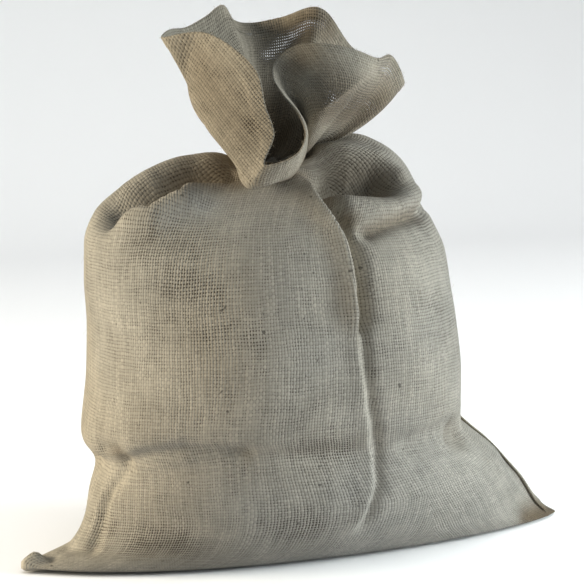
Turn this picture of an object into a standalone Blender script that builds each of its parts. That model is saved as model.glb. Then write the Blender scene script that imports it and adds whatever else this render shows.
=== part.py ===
"""A filled burlap sack that stands on its flattened base, with its open mouth gathered above the neck.

The cloth is one tube, sewn up one side and across the bottom. It is drawn here as rings of points that
climb from the base over the belly and shoulders to the neck, flare out to the mouth's hem, and come back
down the inside of the mouth as the cloth's other face. The front looks along -Y, the sewn side is +X.
"""
import math

import bpy
import numpy as np

MM = 0.001

# Driving sizes, in millimetres
CLOTH = 2.0             # thickness of the doubled, gathered cloth at the mouth
AXIS_X = -19.0          # the filled body leans this far from the middle of its base
NECK_PLEATS = 8         # soft gathers around the neck
NECK_PLEAT_DEPTH = 1.8
MOUTH_START = math.radians(143.0)   # direction of the mouth's back left corner, seen from above
AROUND = 96             # points in a ring
BODY_RINGS = 32         # rings from the base's edge to the neck
MOUTH_RINGS = 9         # rings from the neck to the hem
THROAT = 0.16           # part of the mouth's height where its inner face closes
SEAM_GAP = 0.8          # clear space between the sack and its sewn seam
SEAM_THICK = 3.2
SEAM_TALL = (4.6, 2.4)  # how far the seam stands out at the ear and at the shoulder
SEAM_FOOT_RING = 3
SEAM_TOP_RING = 27
SEAM_DRIFT = 5.0        # points in a ring by which the seam has crept to the back at its top
BASE_TURN = math.radians(4.6)       # the base has turned this far against the body
BASE_TURN_HEIGHT = 110.0
CENTRE = (0.1, -2.8, 0.0)           # middle of the sack's outline, which is moved onto the vertical axis

# One row for each level of the filled body, from its base up. Heights are given on four sides, then the
# reach from the axis on the same four sides. Pinch draws the two ends to a point, square fills the section.
SECTION_COLUMNS = ("z_left", "z_right", "z_front", "z_back", "left", "right", "front", "back", "pinch",
                   "square")
SECTIONS = {
    "resting face":     (0, 0, 0, 0, 172, 208, 46, 54, 1.45, 0.95),
    "base edge":        (5, 2, 4, 4, 196, 234, 57, 66, 1.50, 0.95),
    "ear root":         (16, 13, 18, 18, 165, 216, 72, 79, 1.45, 0.95),
    "flank low":        (34, 32, 38, 38, 151, 198, 85, 89, 1.30, 0.95),
    "flank":            (54, 60, 60, 60, 145, 174, 93, 95, 1.12, 0.92),
    "belly crease":     (71, 92, 92, 90, 139, 138, 97, 97, 0.96, 0.88),
    "belly low":        (93, 110, 112, 110, 148, 134, 107, 106, 0.88, 0.84),
    "belly":            (136, 142, 142, 140, 143, 132, 111, 110, 0.85, 0.82),
    "chest low":        (172, 172, 172, 172, 142, 128, 110, 109, 0.85, 0.82),
    "chest":            (205, 200, 198, 200, 144, 124, 105, 104, 0.87, 0.84),
    "chest high":       (232, 224, 222, 224, 144, 121, 98, 96, 0.90, 0.87),
    "shoulder edge":    (254, 246, 243, 246, 137, 112, 87, 84, 0.93, 0.90),
    "shoulder":         (271, 268, 260, 264, 119, 103, 71, 68, 0.96, 0.94),
    "shoulder top":     (284, 286, 272, 279, 95, 94, 54, 52, 1.00, 0.97),
    "crown":            (293, 300, 280, 290, 70, 77, 39, 40, 1.00, 1.00),
    "crown dip":        (295, 307, 285, 294, 48, 56, 29, 30, 1.00, 1.00),
    "neck gather":      (290, 299, 287, 290, 33, 30, 23, 24, 1.00, 1.00),
    "neck":             (288, 290, 288, 288, 26, 14, 20, 20, 1.00, 1.00),
}

# One row for each bend of the mouth's hem, counterclockwise seen from above: where the hem runs, where the
# cloth below it passes halfway down to the neck, and how sharply it creases there.
HEM_BENDS = {
    "back left corner":     ((-48, 53, 400), (-31, 38, 346), 0.0),
    "back left edge":       ((-62, 46, 392), (-43, 34, 344), 0.0),
    "back left shoulder":   ((-82, 38, 386), (-54, 29, 343), 0.0),
    "left corner high":     ((-99, 26, 388), (-68, 17, 339), 0.0),
    "left corner low":      ((-111, 7, 378), (-80, 9, 338), 0.0),
    "flap top":             ((-81, -19, 382), (-87, 3, 340), 0.0),
    "flap top inner":       ((-62, -42, 369), (-86, -13, 331), 0.2),
    "flap bend":            ((-53, -56, 356), (-84, -31, 320), 0.3),
    "flap side":            ((-52, -72, 334), (-79, -53, 308), 0.3),
    "flap side low":        ((-50, -87, 315), (-73, -71, 297), 0.3),
    "lip left":             ((-59, -99, 295), (-66, -91, 282), 0.4),
    "lip middle":           ((-49, -102, 297), (-57, -93, 281), 0.7),
    "lip right":            ((-37, -103, 303), (-37, -90, 289), 0.4),
    "lip end":              ((-29, -94, 313), (-24, -74, 297), 0.2),
    "inner wall low":       ((-28, -77, 327), (-14, -52, 308), 0.0),
    "inner wall":           ((-33, -54, 340), (-11, -37, 315), 0.0),
    "inner wall top":       ((-34, -33, 352), (-12, -26, 318), 0.0),
    "turn":                 ((-27, -18, 362), (-12, -30, 322), 0.0),
    "facet start":          ((-15, -16, 371), (-11, -42, 323), 0.3),
    "facet middle":         ((0, -29, 374), (-2, -54, 331), 0.6),
    "facet end":            ((24, -35, 370), (18, -54, 344), 0.7),
    "right corner":         ((47, -28, 363), (39, -36, 352), 0.6),
    "right corner tip":     ((57, -20, 365), (49, -23, 347), 0.3),
    "right tip":            ((76, -1, 344), (59, -10, 328), 0.0),
    "back right low":       ((73, 44, 350), (46, 28, 320), 0.0),
    "back right":           ((54, 55, 368), (28, 40, 333), 0.0),
    "back peak":            ((24, 44, 398), (6, 34, 342), 0.0),
    "back dip":             ((2, 71, 390), (-5, 46, 341), 0.0),
    "back middle":          ((-20, 75, 386), (-19, 46, 344), 0.0),
    "back left rise":       ((-37, 63, 389), (-26, 42, 345), 0.0),
}

# One row for each fold or hollow pressed into the filled body: height above (+) or below (-) the plain
# shape, half width, then the line that it follows.
FOLDS = {
    "front panel swell":     (6, 45, ((-60, -104, 205), (-58, -108, 130))),
    "left hollow":           (-26, 13, ((-90, -24, 286), (-118, -27, 277), (-145, -20, 262))),
    "left hollow at neck":   (-15, 10, ((-70, -27, 289), (-56, -24, 289))),
    "left panel edge":       (8, 9, ((-80, -30, 286), (-95, -38, 279), (-104, -48, 268), (-127, -52, 257),
                                     (-148, -30, 252))),
    "left shoulder ridge":   (4, 12, ((-79, -8, 294), (-110, -2, 288), (-132, -4, 276))),
    "pleat edge":            (9, 10, ((-21, -35, 280), (-14, -46, 273), (-10, -60, 263), (-5, -74, 253),
                                      (1, -88, 238), (2, -95, 222))),
    "pleat valley":          (-12, 8, ((-6, -28, 288), (2, -44, 276), (5, -58, 265), (9, -74, 254),
                                       (13, -88, 238))),
    "front crease ridge":    (3.5, 8, ((2, -94, 226), (-1, -104, 201), (1, -108, 181), (5, -110, 153),
                                       (8, -108, 124), (18, -95, 88), (21, -93, 62), (16, -86, 36),
                                       (10, -80, 20))),
    "front crease":          (-5, 5, ((12, -92, 230), (8, -103, 201), (11, -108, 180), (15, -110, 152),
                                      (18, -108, 123), (27, -95, 88), (30, -92, 61), (26, -88, 42),
                                      (20, -80, 20))),
    "right hollow":          (-18, 14, ((12, -38, 280), (28, -40, 279), (44, -38, 277))),
    "right lip":             (5, 8, ((8, -10, 298), (28, -20, 297), (46, -23, 291), (60, -30, 281))),
    "right bulge":           (5, 12, ((14, -64, 262), (34, -62, 260), (56, -54, 260), (72, -36, 266))),
    "right shoulder crease": (-7, 6, ((80, -38, 255), (60, -58, 251), (42, -68, 248), (20, -80, 244))),
    "belly crease left":     (-5, 7, ((-160, 2, 76), (-148, -46, 84), (-135, -68, 93), (-112, -86, 99),
                                      (-76, -94, 97))),
    "belly crease middle":   (-2.5, 7, ((-76, -94, 97), (-34, -97, 93), (16, -97, 90))),
    "belly crease right":    (-3, 8, ((92, -72, 101), (77, -81, 98), (51, -89, 92))),
    "right dimple":          (-9, 9, ((88, -72, 99), (98, -62, 96))),
    "left dimple":           (-5, 7, ((-160, -33, 91), (-152, -48, 94))),
    "left flank crease":     (-4, 5, ((-147, -48, 80), (-156, -33, 62), (-159, -28, 49), (-161, -26, 34),
                                      (-166, -28, 17))),
    "left ear fold":         (-3, 5, ((-184, -12, 14), (-177, -20, 14), (-168, -26, 15))),
    "back hollow left":      (-13, 12, ((-50, 32, 289), (-74, 46, 278), (-92, 58, 264))),
    "back hollow right":     (-14, 13, ((8, 32, 292), (28, 46, 282), (50, 52, 270))),
    "back pleat":            (-7, 8, ((-26, 28, 288), (-20, 58, 272), (-14, 88, 240), (-8, 105, 200))),
    "back belly crease":     (-4, 8, ((-130, 74, 92), (-90, 90, 88), (-40, 96, 92), (10, 96, 90),
                                      (60, 88, 96))),
    "back low crease":       (-3, 7, ((-40, 96, 84), (-52, 90, 50), (-58, 80, 22))),
    "back side crease":      (-4, 9, ((66, 84, 180), (74, 80, 140), (92, 66, 104))),
}


def along_rows(rows, count):
    """Blend a table's rows into count rows with a smooth curve that does not overshoot them."""
    rows = np.asarray(rows, float)
    last = len(rows) - 1
    step = np.diff(rows, axis=0)
    slope = np.zeros_like(rows)
    slope[0], slope[-1] = step[0], step[-1]
    steady = step[:-1] * step[1:] > 0
    both = np.where(steady, step[:-1] + step[1:], 1.0)
    slope[1:-1] = np.where(steady, 2 * step[:-1] * step[1:] / both, 0.0)
    place = np.linspace(0, last, count)
    low = np.minimum(place.astype(int), last - 1)
    part = (place - low)[:, None]
    rise = part * part * (3 - 2 * part)
    return (rows[low] * (1 - rise) + rows[low + 1] * rise
            + slope[low] * part * (1 - part) ** 2 - slope[low + 1] * part ** 2 * (1 - part))


def around_loop(points, places):
    """Read a closed smooth curve through the points at the given parts of its length."""
    points = np.asarray(points, float)
    count = len(points)
    chord = np.linalg.norm(np.roll(points[:, :3], -1, axis=0) - points[:, :3], axis=1)
    start = np.concatenate([[0], np.cumsum(chord)])
    wanted = np.mod(places, 1.0) * start[-1]
    low = np.clip(np.searchsorted(start, wanted, side="right") - 1, 0, count - 1)
    part = ((wanted - start[low]) / chord[low])[:, None]
    before = chord[low - 1][:, None]
    here = chord[low][:, None]
    after = chord[(low + 1) % count][:, None]
    p0, p1 = points[low - 1], points[low]
    p2, p3 = points[(low + 1) % count], points[(low + 2) % count]
    slope1 = ((p1 - p0) / before * here + (p2 - p1) / here * before) / (before + here) * here
    slope2 = ((p2 - p1) / here * after + (p3 - p2) / after * here) / (here + after) * here
    rise = part * part * (3 - 2 * part)
    return (p1 * (1 - rise) + p2 * rise
            + slope1 * part * (1 - part) ** 2 - slope2 * part ** 2 * (1 - part))


def face_normals(grid):
    """Outward unit normals of a grid of rings, closed around and open from ring to ring."""
    around = np.roll(grid, -1, axis=1) - np.roll(grid, 1, axis=1)
    upward = np.gradient(grid, axis=0)
    normal = np.cross(around, upward)
    return normal / np.maximum(np.linalg.norm(normal, axis=2, keepdims=True), 1e-9)


def body_rings():
    """Rings of the filled body, from the edge of its resting face to the neck."""
    turn = np.linspace(0, 2 * math.pi, AROUND, endpoint=False)
    cos, sin = np.cos(turn), np.sin(turn)
    rings = []
    for row in along_rows(list(SECTIONS.values()), BODY_RINGS):
        size = dict(zip(SECTION_COLUMNS, row))
        reach_x = np.where(cos > 0, size["right"], size["left"])
        reach_y = np.where(sin > 0, size["back"], size["front"])
        x = AXIS_X + reach_x * np.sign(cos) * np.abs(cos) ** size["square"]
        y = reach_y * np.sign(sin) * np.abs(sin) ** size["pinch"]
        side = np.where(cos > 0, size["z_right"], size["z_left"])
        face = np.where(sin > 0, size["z_back"], size["z_front"])
        rings.append(np.stack([x, y, side * cos ** 2 + face * sin ** 2], axis=1))
    return turned(np.array(rings))


def turned(rings):
    """Turn the base against the body, fading out over its lower half."""
    fade = np.clip(1 - rings[..., 2] / BASE_TURN_HEIGHT, 0, 1)
    angle = BASE_TURN * fade * fade * (3 - 2 * fade)
    x, y = rings[..., 0] - AXIS_X, rings[..., 1]
    rings[..., 0] = AXIS_X + x * np.cos(angle) - y * np.sin(angle)
    rings[..., 1] = x * np.sin(angle) + y * np.cos(angle)
    return rings


def nearest_on_path(points, path):
    """Distance from each point to a bent line."""
    best = np.full(points.shape[:-1], np.inf)
    for start, end in zip(path[:-1], path[1:]):
        run = end - start
        part = np.clip(((points - start) @ run) / max(run @ run, 1e-9), 0, 1)
        gap = np.linalg.norm(points - (start + part[..., None] * run), axis=-1)
        best = np.minimum(best, gap)
    return best


def folded(rings):
    """Press the folds and hollows of the table into the plain body."""
    normal = face_normals(rings)
    shift = np.zeros(rings.shape[:2])
    for height, width, path in FOLDS.values():
        gap = nearest_on_path(rings, np.asarray(path, float))
        shift += height * np.exp(-(gap / width) ** 2)
    shift *= np.clip(rings[..., 2] / 12.0, 0, 1)
    shift[0] = 0
    return rings + normal * shift[..., None]


def mouth_rings(neck):
    """Outer rings of the gathered mouth, from above the neck to the hem."""
    bends = np.array([hem + half + (crease,) for hem, half, crease in HEM_BENDS.values()], float)
    turn = np.linspace(0, 2 * math.pi, AROUND, endpoint=False)
    loop = around_loop(bends, (turn - MOUTH_START) / (2 * math.pi))
    hem, half, crease = loop[:, :3], loop[:, 3:6], np.clip(loop[:, 6:], 0, 1)
    lower = np.linalg.norm(half - neck, axis=1)
    middle = (lower / (lower + np.linalg.norm(hem - half, axis=1)))[:, None]
    rings = []
    for level in np.linspace(0, 1, MOUTH_RINGS + 1)[1:]:
        at_neck = (level - middle) * (level - 1) / middle
        at_half = level * (level - 1) / (middle * (middle - 1))
        at_hem = level * (level - middle) / (1 - middle)
        curved = neck * at_neck + half * at_half + hem * at_hem
        below = neck + (half - neck) * level / middle
        above = half + (hem - half) * (level - middle) / (1 - middle)
        bent = np.where(level < middle, below, above)
        rings.append(curved * (1 - crease) + bent * crease)
    return np.array(rings)


def gathered(rings, strength):
    """Wave the rings nearest to the neck in and out, as the drawn-in cloth does."""
    turn = np.linspace(0, 2 * math.pi, AROUND, endpoint=False)
    wave = NECK_PLEAT_DEPTH * np.cos(NECK_PLEATS * turn)
    return rings + face_normals(rings) * (wave * strength[:, None])[..., None]


def closed_rings_mesh(name, rings, low_centre, high_centre):
    """A closed mesh through a stack of rings, with a fan of triangles at either end."""
    count = rings.shape[1]
    points = (np.concatenate([[low_centre], rings.reshape(-1, 3), [high_centre]]) - CENTRE) * MM
    top = len(points) - 1
    faces = []
    for j in range(count):
        after = (j + 1) % count
        faces.append((0, 1 + after, 1 + j))
        for i in range(len(rings) - 1):
            low, high = 1 + i * count, 1 + (i + 1) * count
            faces.append((low + j, low + after, high + after, high + j))
        last = 1 + (len(rings) - 1) * count
        faces.append((last + j, last + after, top))
    mesh = bpy.data.meshes.new(name)
    mesh.from_pydata(points.tolist(), [], faces)
    mesh.validate()
    part = bpy.data.objects.new(name, mesh)
    bpy.context.scene.collection.objects.link(part)
    mesh.shade_smooth()
    mesh.set_sharp_from_angle(angle=math.radians(60))
    return part


def sack_grid():
    """The outer face of the whole sack: body rings, then mouth rings."""
    body = folded(body_rings())
    grid = np.concatenate([body, mouth_rings(body[-1])])
    level = np.arange(len(grid)) - (BODY_RINGS - 1)
    return gathered(grid, np.exp(-(level / 3.0) ** 2))


def build_sack(grid):
    """The filled cloth body and its open mouth, as one solid."""
    mouth = grid[BODY_RINGS - 1:]
    inner = (mouth - face_normals(mouth) * CLOTH)[::-1]
    keep = int(round((1 - THROAT) * MOUTH_RINGS)) + 1
    rings = np.concatenate([grid, inner[:keep]])
    base = (AXIS_X, 0.0, 0.0)
    throat = inner[keep - 1].mean(axis=0)
    return closed_rings_mesh("sack", rings, base, throat)


def build_side_seam(grid):
    """The sewn, overlocked edge that stands out along the right side, from the ear to the shoulder."""
    rings = np.arange(SEAM_FOOT_RING, SEAM_TOP_RING)
    drift = SEAM_DRIFT * (rings / SEAM_TOP_RING) ** 2
    column = drift.astype(int)
    part = (drift - column)[:, None]
    line = grid[rings, column] * (1 - part) + grid[rings, column + 1] * part
    run = np.gradient(line, axis=0)
    out = np.stack([run[:, 2], np.zeros(len(run)), -run[:, 0]], axis=1)
    out /= np.linalg.norm(out, axis=1, keepdims=True)
    tall = np.linspace(SEAM_TALL[0], SEAM_TALL[1], len(line))[:, None]
    foot = line + out * SEAM_GAP
    crest = foot + out * tall
    half = np.array([0.0, SEAM_THICK / 2, 0.0])
    rings = np.stack([foot - half, crest - half * 0.7, crest + half * 0.7, foot + half], axis=1)
    return closed_rings_mesh("side_seam", rings, rings[0].mean(axis=0), rings[-1].mean(axis=0))


def dress(part, name, colour, roughness):
    """Give a sub-part its own cloth colour."""
    material = bpy.data.materials.new(name)
    material.use_nodes = True
    shader = material.node_tree.nodes["Principled BSDF"]
    shader.inputs["Base Color"].default_value = (*colour, 1.0)
    shader.inputs["Roughness"].default_value = roughness
    shader.inputs["Metallic"].default_value = 0.0
    part.data.materials.append(material)


def clear_scene():
    """Remove the objects that a new file starts with."""
    for thing in list(bpy.data.objects):
        bpy.data.objects.remove(thing, do_unlink=True)


def main():
    """Build the sack and its seam."""
    clear_scene()
    grid = sack_grid()
    dress(build_sack(grid), "burlap", (0.45, 0.38, 0.27), 0.92)
    dress(build_side_seam(grid), "overlocked edge", (0.40, 0.33, 0.23), 0.92)


if __name__ == "__main__":
    main()
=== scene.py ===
"""The looks of a filled burlap sack: woven cloth with its folds, a gathered open mouth and a sewn
side edge.

Sizes in the tables are millimetres. The front looks along -Y and the sewn edge is on the +X side.
"""
import logging
import math
from collections.abc import Iterator
from dataclasses import dataclass, field
from enum import Enum

import bpy
import numpy as np
from mathutils import Matrix, Vector


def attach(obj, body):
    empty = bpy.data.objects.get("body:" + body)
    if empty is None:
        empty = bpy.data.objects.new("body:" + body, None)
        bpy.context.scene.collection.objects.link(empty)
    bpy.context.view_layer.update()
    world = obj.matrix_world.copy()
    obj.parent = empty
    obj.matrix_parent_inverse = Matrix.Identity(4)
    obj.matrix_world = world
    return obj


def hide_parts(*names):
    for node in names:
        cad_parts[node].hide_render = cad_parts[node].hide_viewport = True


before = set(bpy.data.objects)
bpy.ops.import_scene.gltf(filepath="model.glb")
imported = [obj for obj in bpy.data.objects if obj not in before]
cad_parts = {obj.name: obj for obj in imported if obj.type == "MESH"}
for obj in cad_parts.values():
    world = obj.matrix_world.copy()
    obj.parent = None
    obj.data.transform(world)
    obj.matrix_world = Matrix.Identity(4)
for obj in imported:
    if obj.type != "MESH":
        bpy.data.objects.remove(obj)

log = logging.getLogger("burlap_sack")

Array = np.ndarray
Piece = bpy.types.Object
Material = bpy.types.Material
Socket = bpy.types.NodeSocket
Colour = tuple[float, float, float, float]
Patches = dict[str, tuple]

MM = 0.001
CENTRE = np.array([0.1, -2.8, 0.0])     # middle of the outline, moved onto the vertical axis
BODY = "root"
FULL_TURN = 2 * math.pi
TINY = 1e-9
NUMBER = "NodeSocketFloat"

# One row for each level of the filled body, from its base up. Heights are given on four sides, then
# the reach from the axis on the same four sides. Pinch draws the two ends to a point, square fills
# the section.
SECTION_COLUMNS = ("z_left", "z_right", "z_front", "z_back", "left", "right", "front", "back",
                   "pinch", "square")
SECTIONS = {
    "resting face":  (0, 0, 0, 0, 172, 208, 46, 54, 1.45, 0.95),
    "base edge":     (5, 2, 4, 4, 196, 234, 57, 66, 1.50, 0.95),
    "ear root":      (16, 13, 18, 18, 165, 216, 72, 79, 1.45, 0.95),
    "flank low":     (34, 32, 38, 38, 151, 198, 85, 89, 1.30, 0.95),
    "flank":         (54, 60, 60, 60, 145, 174, 93, 95, 1.12, 0.92),
    "belly crease":  (71, 92, 92, 90, 139, 138, 97, 97, 0.96, 0.88),
    "belly low":     (93, 110, 112, 110, 148, 134, 107, 106, 0.88, 0.84),
    "belly":         (136, 142, 142, 140, 143, 132, 111, 110, 0.85, 0.82),
    "chest low":     (172, 172, 172, 172, 142, 128, 110, 109, 0.85, 0.82),
    "chest":         (205, 200, 198, 200, 144, 124, 105, 104, 0.87, 0.84),
    "chest high":    (232, 224, 222, 224, 144, 121, 98, 96, 0.90, 0.87),
    "shoulder edge": (254, 246, 243, 246, 137, 112, 87, 84, 0.93, 0.90),
    "shoulder":      (271, 268, 260, 264, 119, 103, 71, 68, 0.96, 0.94),
    "shoulder top":  (284, 286, 272, 279, 95, 94, 54, 52, 1.00, 0.97),
    "crown":         (293, 300, 280, 290, 70, 77, 39, 40, 1.00, 1.00),
    "crown dip":     (295, 307, 285, 294, 48, 56, 29, 30, 1.00, 1.00),
    "neck gather":   (290, 299, 287, 290, 33, 30, 23, 24, 1.00, 1.00),
    "neck":          (288, 290, 288, 288, 26, 14, 20, 20, 1.00, 1.00),
}

# One row for each bend of the mouth's hem, counterclockwise seen from above: where the hem runs,
# where the cloth below it passes halfway down to the neck, and how sharply it creases there.
HEM_BENDS = {
    "back left corner":   ((-48, 53, 400), (-31, 38, 346), 0.0),
    "back left edge":     ((-62, 46, 392), (-43, 34, 344), 0.0),
    "back left shoulder": ((-80, 38, 384), (-54, 29, 343), 0.0),
    "left corner high":   ((-94, 26, 383), (-68, 17, 339), 0.0),
    "left corner low":    ((-105, 7, 378), (-80, 9, 338), 0.0),
    "flap top":           ((-81, -19, 382), (-87, 3, 340), 0.0),
    "flap top inner":     ((-62, -42, 369), (-86, -13, 331), 0.2),
    "flap bend":          ((-53, -56, 356), (-84, -31, 320), 0.3),
    "flap side":          ((-52, -72, 334), (-79, -53, 308), 0.3),
    "flap side low":      ((-50, -87, 315), (-73, -71, 297), 0.3),
    "lip left":           ((-59, -99, 295), (-66, -91, 282), 0.4),
    "lip middle":         ((-49, -102, 297), (-57, -93, 281), 0.7),
    "lip right":          ((-37, -103, 303), (-37, -90, 289), 0.4),
    "lip end":            ((-29, -94, 313), (-24, -74, 297), 0.2),
    "inner wall low":     ((-28, -77, 327), (-14, -52, 308), 0.0),
    "inner wall":         ((-33, -54, 340), (-11, -37, 315), 0.0),
    "inner wall top":     ((-34, -33, 352), (-12, -26, 318), 0.0),
    "turn":               ((-27, -18, 362), (-12, -30, 322), 0.0),
    "facet start":        ((-15, -16, 371), (-11, -42, 323), 0.3),
    "facet middle":       ((0, -29, 374), (-2, -54, 331), 0.6),
    "facet end":          ((24, -35, 370), (18, -54, 344), 0.7),
    "right corner":       ((47, -28, 363), (39, -36, 352), 0.6),
    "right corner tip":   ((57, -20, 365), (49, -23, 347), 0.3),
    "right tip":          ((76, -1, 344), (59, -10, 328), 0.0),
    "back right low":     ((73, 44, 350), (46, 28, 320), 0.0),
    "back right":         ((54, 55, 368), (28, 40, 333), 0.0),
    "back peak":          ((24, 44, 398), (6, 34, 342), 0.0),
    "back dip":           ((2, 71, 390), (-5, 46, 341), 0.0),
    "back middle":        ((-20, 75, 386), (-19, 46, 344), 0.0),
    "back left rise":     ((-37, 63, 389), (-26, 42, 345), 0.0),
}

# One row for each soft fold or hollow pressed into the filled body: height above (+) or below (-)
# the plain shape, half width, then the line that it follows.
FOLDS = {
    "front panel swell":     (6, 45, ((-60, -104, 205), (-58, -108, 130))),
    "left hollow":           (-31, 15, ((-88, -24, 286), (-118, -27, 277), (-145, -20, 262))),
    "left hollow at neck":   (-19, 11, ((-72, -27, 289), (-56, -24, 289))),
    "left shoulder ridge":   (4, 12, ((-79, -8, 294), (-110, -2, 288), (-132, -4, 276))),
    "right hollow":          (-27, 15, ((4, -36, 283), (22, -40, 280), (40, -38, 277))),
    "right lip":             (5, 8, ((8, -10, 298), (28, -20, 297), (46, -23, 291),
                                     (60, -30, 281))),
    "right bulge":           (5, 12, ((14, -64, 262), (34, -62, 260), (56, -54, 260),
                                      (72, -36, 266))),
    "right shoulder crease": (-7, 6, ((86, -12, 257), (80, -38, 255), (60, -58, 251),
                                      (42, -68, 248), (20, -80, 244))),
    "belly crease left":     (-5, 7, ((-160, 2, 76), (-148, -46, 84), (-135, -68, 93),
                                      (-112, -86, 99), (-76, -94, 97))),
    "belly crease middle":   (-2.5, 7, ((-76, -94, 97), (-34, -97, 93), (16, -97, 90))),
    "belly crease right":    (-3, 8, ((92, -72, 101), (77, -81, 98), (51, -89, 92))),
    "right dimple":          (-9, 8, ((96, -66, 91), (106, -56, 87))),
    "right ear swell":       (2, 12, ((130, 2, 84), (148, 4, 66))),
    "right ear edge":        (4, 10, ((172, 8, 40), (198, 13, 19))),
    "left dimple":           (-5, 7, ((-160, -33, 91), (-152, -48, 94))),
    "left flank crease":     (-4, 5, ((-147, -48, 80), (-156, -33, 62), (-159, -28, 49),
                                      (-161, -26, 34), (-166, -28, 17))),
    "left ear roll":         (9, 7, ((-214, -16, 6), (-207, -13, 8))),
    "left ear roll crease":  (-5, 4, ((-199, -8, 12), (-196, -20, 9))),
    "left ear fold":         (-3, 5, ((-184, -12, 14), (-177, -20, 14), (-168, -26, 15))),
    "back hollow left":      (-13, 12, ((-50, 32, 289), (-74, 46, 278), (-92, 58, 264))),
    "back hollow right":     (-14, 13, ((8, 32, 292), (28, 46, 282), (50, 52, 270))),
    "back pleat":            (-4, 9, ((-26, 28, 288), (-20, 58, 272), (-14, 88, 240),
                                      (-8, 105, 200))),
    "back belly crease":     (-4, 8, ((-130, 74, 92), (-90, 90, 88), (-40, 96, 92), (10, 96, 90),
                                      (60, 88, 96))),
    "back low crease":       (-2, 9, ((-40, 96, 84), (-52, 90, 50), (-58, 80, 22))),
    "back side crease":      (-4, 9, ((66, 84, 180), (74, 80, 140), (92, 66, 104))),
}

# One row for each fold whose cloth laps over its neighbour: how far the lapping side swells and how
# wide, how far the other side sinks and how wide, how far the edge leans over, how wide the step
# between them is, then its line, which has the lapping side on its left as seen from outside.
LAPS = {
    "left panel edge": (12, 15, 16, 10, 2.5, 5.0, ((-70, -26, 290), (-80, -30, 286),
                                                   (-95, -38, 279), (-104, -48, 268),
                                                   (-127, -50, 263), (-146, -30, 260),
                                                   (-156, -14, 255))),
    "pleat edge":      (7, 12, 14, 11, 1.4, 5.0, ((5, -109, 172), (4, -107, 186), (3, -104, 201),
                                                  (3, -95, 222), (1, -88, 238), (-5, -74, 253),
                                                  (-10, -60, 263), (-14, -46, 273), (-21, -35, 280),
                                                  (-30, -28, 284))),
    "front crease":    (2.0, 11, 6.0, 7, 0.0, 9.0, ((12, -80, 18), (20, -86, 38), (25, -93, 62),
                                                    (22, -95, 88), (12, -108, 124), (8, -110, 153),
                                                    (5, -108, 181), (3, -104, 201), (3, -95, 222))),
}

# One row for each patch where the weave has opened up: how far, from 0 to 1, its radius and the
# line it is on.
OPEN_PATCHES = {
    "left shoulder":    (0.95, 18, (-122, -52, 240), (-100, -66, 236)),
    "left chest":       (0.90, 13, (-112, -76, 214), (-92, -88, 206)),
    "left chest low":   (0.60, 12, (-96, -92, 180), (-70, -104, 176)),
    "left side low":    (0.95, 16, (-136, -46, 24), (-112, -64, 26)),
    "ear root":         (0.70, 16, (-158, -30, 30)),
    "belly middle":     (0.80, 13, (-34, -98, 104), (-6, -98, 96)),
    "base middle":      (0.80, 14, (-50, -78, 42), (-20, -84, 36)),
    "right lip":        (0.95, 9, (14, -10, 302), (46, -16, 296)),
    "right shoulder":   (0.60, 18, (70, -50, 246)),
    "right chest":      (0.50, 16, (62, -84, 190), (80, -74, 176)),
    "mouth, right":     (0.70, 16, (3, -55, 336), (46, -16, 329)),
    "mouth, far right": (0.70, 16, (34, 38, 330), (60, 23, 326)),
    "mouth, right tip": (0.80, 12, (54, -22, 357), (66, 0, 348)),
    "stretched strip":  (0.80, 7, (-14, 58, 362), (3, 61, 374), (18, 46, 388), (30, 44, 388)),
    "flap":             (0.80, 6, (-64, -70, 322), (-58, -74, 318)),
}

# One row for each patch of the mouth that light comes through, in the same form.
SHEER_PATCHES = {
    "stretched strip": (0.62, 6, (-10, 59, 364), (3, 61, 374), (18, 46, 388), (30, 44, 388)),
    "back left":       (0.70, 7, (-24, 67, 378), (-32, 64, 384)),
    "right":           (0.90, 15, (3, -55, 336), (46, -16, 329)),
    "far right":       (0.90, 15, (34, 38, 330), (60, 23, 326)),
    "right tip":       (0.95, 8, (54, -22, 357), (60, -14, 356)),
}

# One row for each hollow, crease, inner face and underside whose cloth is darkened towards brown
# as painted shade, in the same form.
PAINTED_SHADE = {
    "left hollow":       (0.95, 22, (-70, -26, 286), (-92, -26, 280)),
    "left hollow end":   (0.70, 16, (-124, -26, 268)),
    "front of the neck": (1.00, 18, (-40, -30, 286), (-10, -34, 284)),
    "right hollow":      (0.95, 22, (0, -42, 277), (16, -40, 279), (34, -40, 276)),
    "right hollow end":  (0.35, 16, (54, -36, 274)),
    "pleat":             (0.60, 10, (8, -74, 252)),
    "pleat edge":        (0.60, 3.5, (7, -113, 172), (7, -111, 186), (6, -108, 201), (6, -100, 222),
                          (4, -93, 238), (-2, -78, 253)),
    "right crease":      (0.55, 8, (70, -50, 252), (44, -66, 248), (24, -78, 244)),
    "right dimple":      (0.90, 8, (96, -64, 91), (105, -56, 87)),
    "right ear tip":     (0.90, 13, (180, -12, 7), (213, 15, 4)),
    "right ear edge":    (0.30, 7, (160, 0, 52), (200, 8, 16)),
    "left dimple":       (0.50, 9, (-153, -46, 88)),
    "flap":              (0.42, 30, (-84, -20, 352), (-62, -70, 316)),
    "under the tip":     (0.65, 22, (10, -50, 330), (30, -20, 326), (52, -8, 332)),
    "deep inside":       (0.70, 26, (-20, 35, 318), (-2, 19, 295)),
    "lip's inside":      (1.00, 16, (-44, -70, 292), (-24, -50, 294)),
    "throat":            (1.00, 24, (-20, -12, 300)),
    "mouth, back right": (0.55, 16, (6, 56, 378), (29, 46, 384)),
    "facet's left end":  (0.50, 12, (-12, -24, 358)),
    "back hollow":       (0.60, 22, (-40, 40, 284)),
    "back right hollow": (0.60, 22, (26, 42, 286)),
}

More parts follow.
